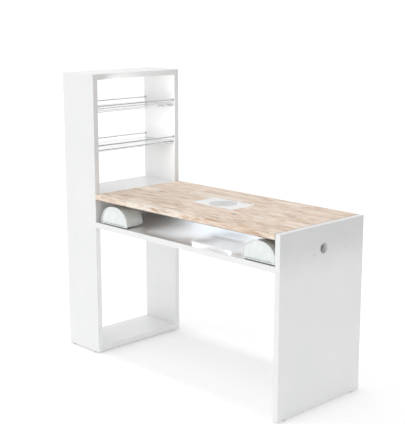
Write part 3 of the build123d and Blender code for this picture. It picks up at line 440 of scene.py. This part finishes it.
def closed_cell_foam():
    """Black closed-cell foam strip: matt and pitted."""
    material, tree, place = begin("closed_cell_foam")
    cells = add(tree, "ShaderNodeTexVoronoi", {"Vector": place, "Scale": per(0.9)})
    colour = ramp(tree, cells.outputs["Distance"], [(0.1, "#0D0D0D"), (0.7, "#1F1F1F")])
    shade(tree, {"Base Color": colour, "Roughness": spread(tree, cells.outputs["Distance"], 0.75, 0.95)},
          height=cells.outputs["Distance"], strength=0.5)
    return material


def insulated_wire():
    """PVC insulation: black, softly glossy, slightly uneven."""
    material, tree, place = begin("pvc_wire_insulation")
    uneven = noise(tree, place, 3, detail=2)
    shade(tree, {"Base Color": ramp(tree, uneven, [(0.3, "#101010"), (0.7, "#1C1C1C")]),
                 "Roughness": spread(tree, uneven, 0.35, 0.5)}, height=uneven, strength=0.1)
    return material


def circuit_green():
    """Solder mask over copper tracks: glossy green with lighter square-cornered runs."""
    material, tree, place = begin("green_solder_mask")
    tracks = add(tree, "ShaderNodeTexVoronoi", {"Vector": place, "Scale": per(5.0)}, distance="CHEBYCHEV")
    colour = ramp(tree, tracks.outputs["Distance"], [(0.35, "#0E4A22"), (0.45, "#1F6E38")])
    shade(tree, {"Base Color": colour, "Roughness": spread(tree, tracks.outputs["Distance"], 0.25, 0.4)},
          height=tracks.outputs["Distance"], strength=0.1)
    return material


def float_glass():
    """Clear polished float glass: nearly colourless, faintly smeared by use."""
    material, tree, place = begin("polished_float_glass")
    smear = noise(tree, place, 40, detail=4, roughness=0.6)
    shade(
        tree,
        {"Base Color": linear("#FAFBFB"), "Roughness": spread(tree, smear, 0.0, 0.03, 0.4, 0.8), "IOR": 1.52,
         "Transmission Weight": 1.0},
        height=smear,
        strength=0.01,
    )
    return material


# ------------------------------------------------------------------ soft finishes
def white_leatherette(name="white_leatherette", light="#F3F7F6", dark="#E4ECEA"):
    """Wipe-clean polyurethane leatherette: pebbled grain under a glossy top coat."""
    material, tree, place = begin(name)
    pebbles = add(tree, "ShaderNodeTexVoronoi", {"Vector": place, "Scale": per(2.2), "Randomness": 1.0},
                  feature="SMOOTH_F1")
    creases = noise(tree, place, 26, detail=4, roughness=0.55)
    colour = ramp(tree, creases, [(0.3, dark), (0.7, light)])
    height = arithmetic(tree, "ADD", pebbles.outputs["Distance"], arithmetic(tree, "MULTIPLY", creases, 0.8))
    shade(
        tree,
        {"Base Color": colour, "Roughness": spread(tree, pebbles.outputs["Distance"], 0.26, 0.4), "IOR": 1.5,
         "Coat Weight": 0.25, "Coat Roughness": 0.18},
        height=height,
        strength=0.22,
        depth_mm=0.3,
    )
    return material


def filter_paper():
    """Carbon-loaded filter paper: charcoal, matted and slightly fuzzy."""
    material, tree, place = begin("carbon_filter_paper")
    mat = noise(tree, place, 1.2, detail=6, roughness=0.75)
    shade(tree, {"Base Color": ramp(tree, mat, [(0.3, "#232322"), (0.7, "#3A3938")]),
                 "Roughness": spread(tree, mat, 0.85, 0.98), "Sheen Weight": 0.2}, height=mat, strength=0.4)
    return material


def needled_felt():
    """Grey needled felt: dull tangled fibres."""
    material, tree, place = begin("needled_felt")
    fibre = noise(tree, place, 0.9, detail=6, roughness=0.8, stretch=(3, 1, 1), distortion=2.0)
    shade(tree, {"Base Color": ramp(tree, fibre, [(0.3, "#2A2A2B"), (0.7, "#4A4A4B")]),
                 "Roughness": spread(tree, fibre, 0.85, 1.0), "Sheen Weight": 0.4},
          height=fibre, strength=0.6)
    return material


FINISHES = {
    "white_board": white_gloss_laminate(),
    "oak_top": oak_staves(),
    "shelf_glass": float_glass(),
    "chrome": chrome_plate(),
    "zinc_steel": zinc_plate(),
    "beech": beech_dowel(),
    "die_cast_zinc": die_cast_zinc(),
    "black_plastic": moulded_plastic("black_moulded_abs", "#141415", "#202021", 1.0, 0.42, 0.6),
    "white_plastic": moulded_plastic("white_moulded_abs", "#E9EAEA", "#F2F2F1", 1.2, 0.3, 0.42),
    "white_steel": powder_coat(),
    "black_foam": closed_cell_foam(),
    "filter_paper": filter_paper(),
    "white_leatherette": white_leatherette(),
    "black_board": black_fibreboard(),
    "grey_felt": needled_felt(),
    "winding_copper": wound_copper(),
    "circuit_green": circuit_green(),
    "wire_black": insulated_wire(),
}
# painted highlight: the piping is a lighter copy of the leatherette, for light caught by its rounded edge
PIPING_PAINTED_HIGHLIGHT = white_leatherette("piping_leatherette_painted_highlight", "#FBFDFD", "#F4F7F7")
PLATE_FINISH = powder_coat("pierced_powder_coat_painted_hole_shade", pierced="intake_plate")


def finish_cad_nodes():
    """Give every CAD piece the procedural finish of its slot."""
    for row in frame["record"]["subparts"]:
        mesh = frame["nodes"][row["node"]].data
        mesh.materials.clear()
        pierced = row["node"] == "intake_plate"
        mesh.materials.append(PLATE_FINISH if pierced else FINISHES[row["material_slot"]])


# ------------------------------------------------------------------ arm rests
PUFF_CAP = 4 * MM  # how far the stuffing may push the cover out
STUFFING_STEPS = 20
VOXEL = 4 * MM
PIPING_RADIUS = 2.2 * MM
PIPING_INSET = 1.6 * MM
SHRINK = 2.5 * MM  # the cover starts this much inside its final size
FULLNESS = 2.25  # of a superellipse: a little squarer than an ellipse
TAPER_START = 0.55  # share of the length where most of the narrowing begins
BACK_WIDTH = 0.66  # of the front's
BACK_HEIGHT = 0.76
WIDTH_TAPER = (0.2, 0.8)  # how much of the narrowing is even, and how much comes late
HEIGHT_TAPER = (0.15, 0.85)


def mesh_object(name, bm):
    """A bmesh as a named object in the scene."""
    mesh = bpy.data.meshes.new(name)
    bm.normal_update()
    bm.to_mesh(mesh)
    bm.free()
    made = bpy.data.objects.new(name, mesh)
    bpy.context.scene.collection.objects.link(made)
    return made


class RestShape:
    """The D-shaped rest inside its CAD solid: half-width and height at each distance from its front."""

    def __init__(self, node):
        low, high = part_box(node)
        self.low, self.high = low, high
        self.middle = (low.x + high.x) / 2
        self.base = low.z
        self.length = high.y - low.y
        self.half = (high.x - low.x) / 2
        self.height = high.z - low.z
        self.back_half = self.half * BACK_WIDTH
        self.back_height = self.height * BACK_HEIGHT

    def size_at(self, share):
        """Half-width and height at that share of the length, full at first and then drawn in."""
        late = max(0.0, (share - TAPER_START) / (1 - TAPER_START))
        ease = late * late
        narrowing = WIDTH_TAPER[0] * share + WIDTH_TAPER[1] * ease
        lowering = HEIGHT_TAPER[0] * share + HEIGHT_TAPER[1] * ease
        return (
            self.half + (self.back_half - self.half) * narrowing,
            self.height + (self.back_height - self.height) * lowering,
        )

    def outline_point(self, share, angle, inset=0.0):
        """A point of the D at that share of the length; angle 0 to pi runs over the top."""
        half, height = self.size_at(share)
        c, s = math.cos(angle), math.sin(angle)
        x = math.copysign(abs(c) ** (2 / FULLNESS), c) * (half - inset)
        z = abs(s) ** (2 / FULLNESS) * (height - inset)
        return Vector((self.middle + x, self.low.y + share * self.length, self.base + z))


def rest_shell(shape):
    """The rest's plain form: a D drawn back through its stations and closed."""
    bm = bmesh.new()
    steps = 40
    stations = 9
    rings = []
    for station in range(stations):
        share = station / (stations - 1)
        ring = []
        for step in range(steps + 1):
            point = shape.outline_point(share, math.pi * step / steps, SHRINK)
            point.y = shape.low.y + SHRINK + share * (shape.length - 2 * SHRINK)
            ring.append(bm.verts.new(point))
        rings.append([bm.edges.new((ring[i], ring[(i + 1) % len(ring)])) for i in range(len(ring))])
    for near, far in zip(rings, rings[1:]):
        bmesh.ops.bridge_loops(bm, edges=near + far)
    bmesh.ops.contextual_create(bm, geom=rings[0])
    bmesh.ops.contextual_create(bm, geom=rings[-1])
    bmesh.ops.recalc_face_normals(bm, faces=bm.faces)
    return bm


def apply_modifiers(piece):
    """Bake what the modifiers make into the piece's own mesh."""
    graph = bpy.context.evaluated_depsgraph_get()
    baked = bpy.data.meshes.new_from_object(piece.evaluated_get(graph))
    piece.modifiers.clear()
    old = piece.data
    piece.data = baked
    bpy.data.meshes.remove(old)


def stuff(piece):
    """Fill the cover: voxel remesh, a short pressure simulation, and a cap on how far it swells."""
    remesh = piece.modifiers.new("even_mesh", "REMESH")
    remesh.mode = "VOXEL"
    remesh.voxel_size = VOXEL
    apply_modifiers(piece)
    before = [v.co.copy() for v in piece.data.vertices]
    cloth = piece.modifiers.new("stuffing", "CLOTH")
    cloth.settings.quality = 5
    cloth.settings.mass = 0.3
    cloth.settings.tension_stiffness = 15
    cloth.settings.compression_stiffness = 15
    cloth.settings.bending_stiffness = 0.5
    cloth.settings.use_pressure = True
    cloth.settings.uniform_pressure_force = 4
    cloth.settings.effector_weights.gravity = 0
    for step in range(1, STUFFING_STEPS + 1):
        bpy.context.scene.frame_set(step)
    apply_modifiers(piece)
    bpy.context.scene.frame_set(1)
    for vertex, start in zip(piece.data.vertices, before):
        move = vertex.co - start
        if move.length > PUFF_CAP:
            vertex.co = start + move * (PUFF_CAP / move.length)


def keep_inside(piece, low, high):
    """Hold the stuffed cover within its CAD solid's box, flat where it meets its board."""
    for vertex in piece.data.vertices:
        for axis in range(3):
            vertex.co[axis] = min(max(vertex.co[axis], low[axis]), high[axis])


def smooth(piece):
    for polygon in piece.data.polygons:
        polygon.use_smooth = True


def piping(name, shape, share, set_back):
    """A corded edge round the D, as a tube along its outline and across its base."""
    curve = bpy.data.curves.new(name, "CURVE")
    curve.dimensions = "3D"
    curve.bevel_depth = PIPING_RADIUS
    curve.bevel_resolution = 3
    curve.resolution_u = 2
    steps = 32
    base_steps = 10
    points = [shape.outline_point(share, math.pi * i / steps, PIPING_INSET) for i in range(steps + 1)]
    points += [points[-1].lerp(points[0], i / base_steps) for i in range(1, base_steps)]
    line = curve.splines.new("POLY")
    line.points.add(len(points) - 1)
    for spot, point in zip(line.points, points):
        lifted = Vector((point.x, point.y + set_back, max(point.z, shape.base + PIPING_RADIUS)))
        spot.co = (*lifted, 1.0)
    line.use_cyclic_u = True
    holder = bpy.data.objects.new(name, curve)
    bpy.context.scene.collection.objects.link(holder)
    mesh = bpy.data.meshes.new_from_object(holder.evaluated_get(bpy.context.evaluated_depsgraph_get()))
    bpy.data.objects.remove(holder)
    made = bpy.data.objects.new(name, mesh)
    bpy.context.scene.collection.objects.link(made)
    smooth(made)
    return made


def make_rest(side):
    """One arm rest's cushion and its piped edges."""
    node = f"{side}_rest_cushion"
    shape = RestShape(node)
    cushion = mesh_object(f"{side}_rest_cover", rest_shell(shape))
    stuff(cushion)
    keep_inside(cushion, shape.low, shape.high)
    finer = cushion.modifiers.new("finer", "SUBSURF")
    finer.levels = finer.render_levels = 1
    apply_modifiers(cushion)
    smooth(cushion)
    cushion.data.materials.clear()
    cushion.data.materials.append(FINISHES["white_leatherette"])
    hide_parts(node)
    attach(cushion, f"{side}_rest")
    for end, share, set_back in (("front", 0.0, PIPING_RADIUS), ("back", 1.0, -PIPING_RADIUS - SHRINK)):
        edge = piping(f"{side}_rest_{end}_piping", shape, share, set_back)
        edge.data.materials.clear()
        # painted highlight on the piping
        edge.data.materials.append(PIPING_PAINTED_HIGHLIGHT)
        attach(edge, f"{side}_rest")


# ------------------------------------------------------------------ floor
FLOOR_REACH = 2000.0  # metres, so that its edge is out of sight
FLAG_ACROSS = (1.9, 2.5)  # where the grey card beyond the end panel fades in, towards +X
FLAG_BACK = (0.2, 0.8)  # and towards +Y


def studio_floor():
    """Lit white studio paper: matt and evenly glowing, with a soft grey card behind the end panel's right."""
    material, tree, place = begin("lit_studio_paper")
    parts = add(tree, "ShaderNodeSeparateXYZ", {"Vector": place}).outputs
    fades = [
        add(tree, "ShaderNodeMapRange", {"Value": parts[axis], "From Min": start, "From Max": end},
            interpolation_type="SMOOTHSTEP").outputs["Result"]
        for axis, (start, end) in (("X", FLAG_ACROSS), ("Y", FLAG_BACK))
    ]
    card = arithmetic(tree, "MULTIPLY", *fades)
    glow = arithmetic(tree, "MULTIPLY", arithmetic(tree, "SUBTRACT", 1.0, card), PAPER_GLOW)
    shade(tree, {"Base Color": mix(tree, card, "#FBFBFB", "#484848"), "Roughness": 0.95,
                 "Specular IOR Level": 0.0, "Emission Color": linear("#FFFFFF"), "Emission Strength": glow})
    bm = bmesh.new()
    bmesh.ops.create_grid(bm, x_segments=2, y_segments=2, size=FLOOR_REACH)
    floor = mesh_object("studio_floor", bm)
    floor.data.materials.append(material)


make_camera()
light_scene()
studio_floor()
finish_cad_nodes()
for side in ("left", "right"):
    make_rest(side)
